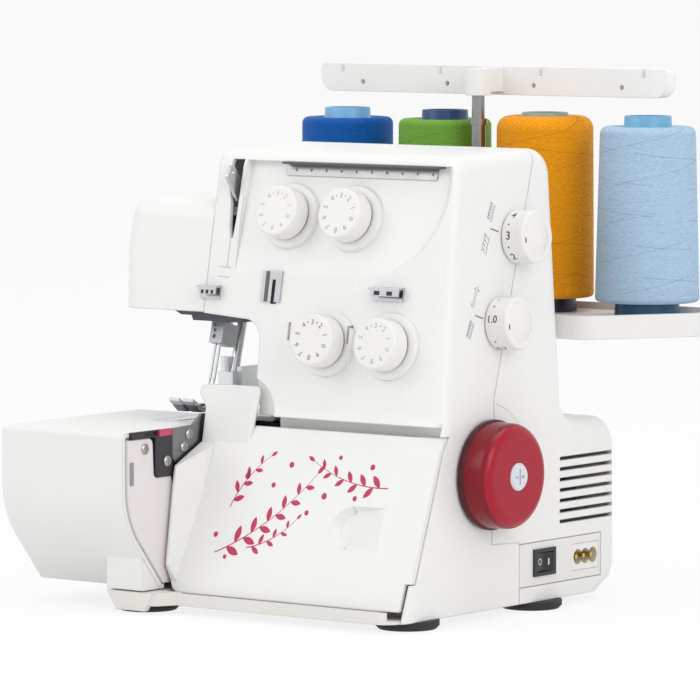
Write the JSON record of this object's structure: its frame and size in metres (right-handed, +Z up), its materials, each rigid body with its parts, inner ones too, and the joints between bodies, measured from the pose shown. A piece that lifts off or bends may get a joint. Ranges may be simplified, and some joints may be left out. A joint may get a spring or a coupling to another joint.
{
  "type": "overlock sewing machine",
  "caption": "Domestic overlock sewing machine with swing-out cloth plate, tension dials, hinged looper cover, handwheel, and a rear spool tray with thread cones and telescopic guide.",
  "frame": {"origin": "on the table, under the middle of the box round the whole machine", "axes": "+X to the handwheel side, +Y to the back where the spool tray is, +Z up"},
  "size_m": [0.316, 0.308, 0.314],
  "materials": {
    "base_white": "moulded, satin gloss",
    "foot_rubber": "matt black rubber",
    "cast_alloy": "die cast, matt",
    "bush_brass": "turned",
    "shell_white": "moulded, gloss",
    "shaft_steel": "ground",
    "wheel_red": "moulded, gloss",
    "cap_grey": "moulded, gloss",
    "pulley_black": "moulded",
    "motor_steel": "painted can",
    "bracket_steel": "folded and zinc plated",
    "belt_rubber": "fabric backed rubber",
    "dial_white": "moulded, gloss",
    "post_steel": "turned",
    "plate_steel": "polished",
    "end_white": "moulded",
    "carrier_black": "black finish",
    "knob_pink": "moulded",
    "bright_steel": "plated",
    "switch_black": "moulded",
    "panel_white": "moulded",
    "pin_brass": "bright",
    "thread_blue": "wound thread on a moulded cone",
    "thread_green": "wound thread on a moulded cone",
    "thread_orange": "wound thread on a moulded cone",
    "thread_pale_blue": "wound thread on a moulded cone",
    "tray_white": "moulded"
  },
  "bodies": {
    "machine": {"base_plate": "base_white", "rubber_feet": "foot_rubber", "machine_frame": "cast_alloy", "bed_block": "cast_alloy", "bearing_bushes": "bush_brass", "front_housing": "shell_white", "rear_housing": "shell_white", "face_cover": "shell_white", "motor": "motor_steel", "motor_bracket": "bracket_steel", "tray_bracket": "bracket_steel", "drive_belt": "belt_rubber", "tension_posts": "post_steel", "needle_plate": "plate_steel", "lower_knife": "plate_steel", "bed_end_cover": "end_white", "knife_carrier": "carrier_black", "top_guide_strip": "bright_steel", "front_thread_guides": "bright_steel", "pole_outer_tube": "bright_steel", "panel_screws": "bright_steel", "switch_body": "switch_black", "switch_panel": "panel_white", "inlet_socket": "panel_white", "inlet_pins": "pin_brass", "spool_tray": "tray_white", "spool_pins": "tray_white"},
    "handwheel": {"handwheel": "wheel_red", "handwheel_cap": "cap_grey", "main_shaft": "shaft_steel", "main_pulley": "pulley_black"},
    "motor_rotor": {"motor_pulley": "pulley_black"},
    "dial_left_needle": {"tension_dial_left_needle": "dial_white"},
    "dial_right_needle": {"tension_dial_right_needle": "dial_white"},
    "dial_upper_looper": {"tension_dial_upper_looper": "dial_white"},
    "dial_lower_looper": {"tension_dial_lower_looper": "dial_white"},
    "dial_stitch_length": {"stitch_length_dial": "dial_white"},
    "dial_differential": {"differential_dial": "dial_white"},
    "cover_slider": {"cover_hinge_rod": "shaft_steel"},
    "cover": {"looper_cover": "shell_white"},
    "cloth_table": {"cloth_plate": "shell_white"},
    "lifter": {"presser_lifter": "bright_steel"},
    "presser": {"presser_bar": "shaft_steel", "presser_foot": "bright_steel"},
    "needle_unit": {"needle_bar": "shaft_steel", "needle_clamp": "bright_steel", "needles": "bright_steel"},
    "takeup": {"takeup_lever": "bright_steel"},
    "looper_low": {"lower_looper": "plate_steel"},
    "looper_high": {"upper_looper": "plate_steel"},
    "knife": {"upper_knife": "plate_steel"},
    "feed": {"feed_dogs": "plate_steel"},
    "rocker": {"power_rocker": "switch_black"},
    "finger_knob": {"stitch_finger_knob": "knob_pink"},
    "pole": {"pole_inner_rod": "bright_steel"},
    "guide": {"thread_guide_bar": "tray_white"},
    "cone_blue": {"thread_cone_blue": "thread_blue"},
    "cone_green": {"thread_cone_green": "thread_green"},
    "cone_orange": {"thread_cone_orange": "thread_orange"},
    "cone_pale_blue": {"thread_cone_pale_blue": "thread_pale_blue"}
  },
  "joints": [
    {"name": "handwheel_spin", "type": "hinge", "parent": "machine", "child": "handwheel", "pos_m": [0.108, -0.033, 0.084], "axis": [1, 0, 0], "continuous": true},
    {"name": "motor_spin", "type": "hinge", "parent": "machine", "child": "motor_rotor", "pos_m": [0.094, 0.06, 0.062], "axis": [1, 0, 0], "continuous": true},
    {"name": "dial_left_needle_turn", "type": "hinge", "parent": "machine", "child": "dial_left_needle", "pos_m": [-0.0185, -0.05328, 0.2296], "axis": [0, -0.9641, 0.2657], "range_deg": [-216, 108]},
    {"name": "dial_right_needle_turn", "type": "hinge", "parent": "machine", "child": "dial_right_needle", "pos_m": [0.0278, -0.05328, 0.2296], "axis": [0, -0.9641, 0.2657], "range_deg": [-216, 108]},
    {"name": "dial_upper_looper_turn", "type": "hinge", "parent": "machine", "child": "dial_upper_looper", "pos_m": [0.0202, -0.06952, 0.1581], "axis": [0, -0.9835, 0.181], "range_deg": [-216, 108]},
    {"name": "dial_lower_looper_turn", "type": "hinge", "parent": "machine", "child": "dial_lower_looper", "pos_m": [0.0657, -0.06952, 0.1581], "axis": [0, -0.9835, 0.181], "range_deg": [-216, 108]},
    {"name": "stitch_length_turn", "type": "hinge", "parent": "machine", "child": "dial_stitch_length", "pos_m": [0.10111, 0.004, 0.219], "axis": [0.9979, 0, 0.0643], "range_deg": [-120, 120]},
    {"name": "differential_turn", "type": "hinge", "parent": "machine", "child": "dial_differential", "pos_m": [0.10426, -0.0165, 0.17], "axis": [0.9979, 0, 0.0643], "range_deg": [-60, 120]},
    {"name": "cover_slide", "type": "slide", "parent": "machine", "child": "cover_slider", "axis": [1, 0, 0], "range_m": [0, 0.0022]},
    {"name": "cover_swing", "type": "hinge", "parent": "cover_slider", "child": "cover", "pos_m": [0.02, -0.107, 0.02], "axis": [1, 0, 0], "range_deg": [0, 66]},
    {"name": "cloth_plate_swing", "type": "hinge", "parent": "machine", "child": "cloth_table", "pos_m": [-0.146, -0.02, 0.064], "axis": [0, 0, 1], "range_deg": [-80, 0]},
    {"name": "presser_lifter_turn", "type": "hinge", "parent": "machine", "child": "lifter", "pos_m": [-0.0965, 0.005, 0.188], "axis": [1, 0, 0], "range_deg": [-40, 0]},
    {"name": "presser_lift", "type": "slide", "parent": "machine", "child": "presser", "axis": [0, 0.2588, 0.9659], "range_m": [-0.005, 0]},
    {"name": "needle_bar_slide", "type": "slide", "parent": "machine", "child": "needle_unit", "axis": [0, 0.2588, 0.9659], "range_m": [-0.025, 0]},
    {"name": "takeup_swing", "type": "hinge", "parent": "machine", "child": "takeup", "pos_m": [-0.06, -0.018, 0.205], "axis": [1, 0, 0], "range_deg": [0, 12]},
    {"name": "lower_looper_swing", "type": "hinge", "parent": "machine", "child": "looper_low", "pos_m": [-0.04, -0.058, 0.055], "axis": [0, 1, 0], "range_deg": [-8, 0]},
    {"name": "upper_looper_swing", "type": "hinge", "parent": "machine", "child": "looper_high", "pos_m": [-0.014, -0.06, 0.042], "axis": [0, 1, 0], "range_deg": [-6, 0]},
    {"name": "upper_knife_swing", "type": "hinge", "parent": "machine", "child": "knife", "pos_m": [-0.059, -0.03, 0.097], "axis": [1, 0, 0], "range_deg": [0, 6]},
    {"name": "feed_dogs_slide", "type": "slide", "parent": "machine", "child": "feed", "axis": [0, 1, 0], "range_m": [0, 0.003]},
    {"name": "power_rocker_tip", "type": "hinge", "parent": "machine", "child": "rocker", "pos_m": [0.104, 0.024, 0.028], "axis": [0, 0, 1], "range_deg": [0, 16]},
    {"name": "stitch_finger_knob_slide", "type": "slide", "parent": "machine", "child": "finger_knob", "axis": [0, 1, 0], "range_m": [-0.012, 0]},
    {"name": "pole_slide", "type": "slide", "parent": "machine", "child": "pole", "axis": [0, 0, 1], "range_m": [0, 0.105]},
    {"name": "guide_swivel", "type": "hinge", "parent": "pole", "child": "guide", "pos_m": [0.004, 0.102, 0.305], "axis": [0, 0, 1], "range_deg": [-90, 90]},
    {"name": "cone_blue_spin", "type": "hinge", "parent": "machine", "child": "cone_blue", "pos_m": [-0.11005, 0.122, 0.167], "axis": [0, 0, 1], "continuous": true},
    {"name": "cone_green_spin", "type": "hinge", "parent": "machine", "child": "cone_green", "pos_m": [-0.03535, 0.122, 0.167], "axis": [0, 0, 1], "continuous": true},
    {"name": "cone_orange_spin", "type": "hinge", "parent": "machine", "child": "cone_orange", "pos_m": [0.03935, 0.122, 0.167], "axis": [0, 0, 1], "continuous": true},
    {"name": "cone_pale_blue_spin", "type": "hinge", "parent": "machine", "child": "cone_pale_blue", "pos_m": [0.11405, 0.122, 0.167], "axis": [0, 0, 1], "continuous": true}
  ],
  "couplings": [
    {"joint": "motor_spin", "follows": "handwheel_spin", "ratio": 3.25},
    {"joint": "presser_lift", "follows": "presser_lifter_turn", "m_per_rad": 0.00715},
    {"joint": "takeup_swing", "follows": "needle_bar_slide", "rad_per_m": -8.37},
    {"joint": "lower_looper_swing", "follows": "needle_bar_slide", "rad_per_m": 5.58},
    {"joint": "upper_looper_swing", "follows": "needle_bar_slide", "rad_per_m": 4.18},
    {"joint": "upper_knife_swing", "follows": "needle_bar_slide", "rad_per_m": -4.18},
    {"joint": "feed_dogs_slide", "follows": "needle_bar_slide", "ratio": -0.119}
  ]
}
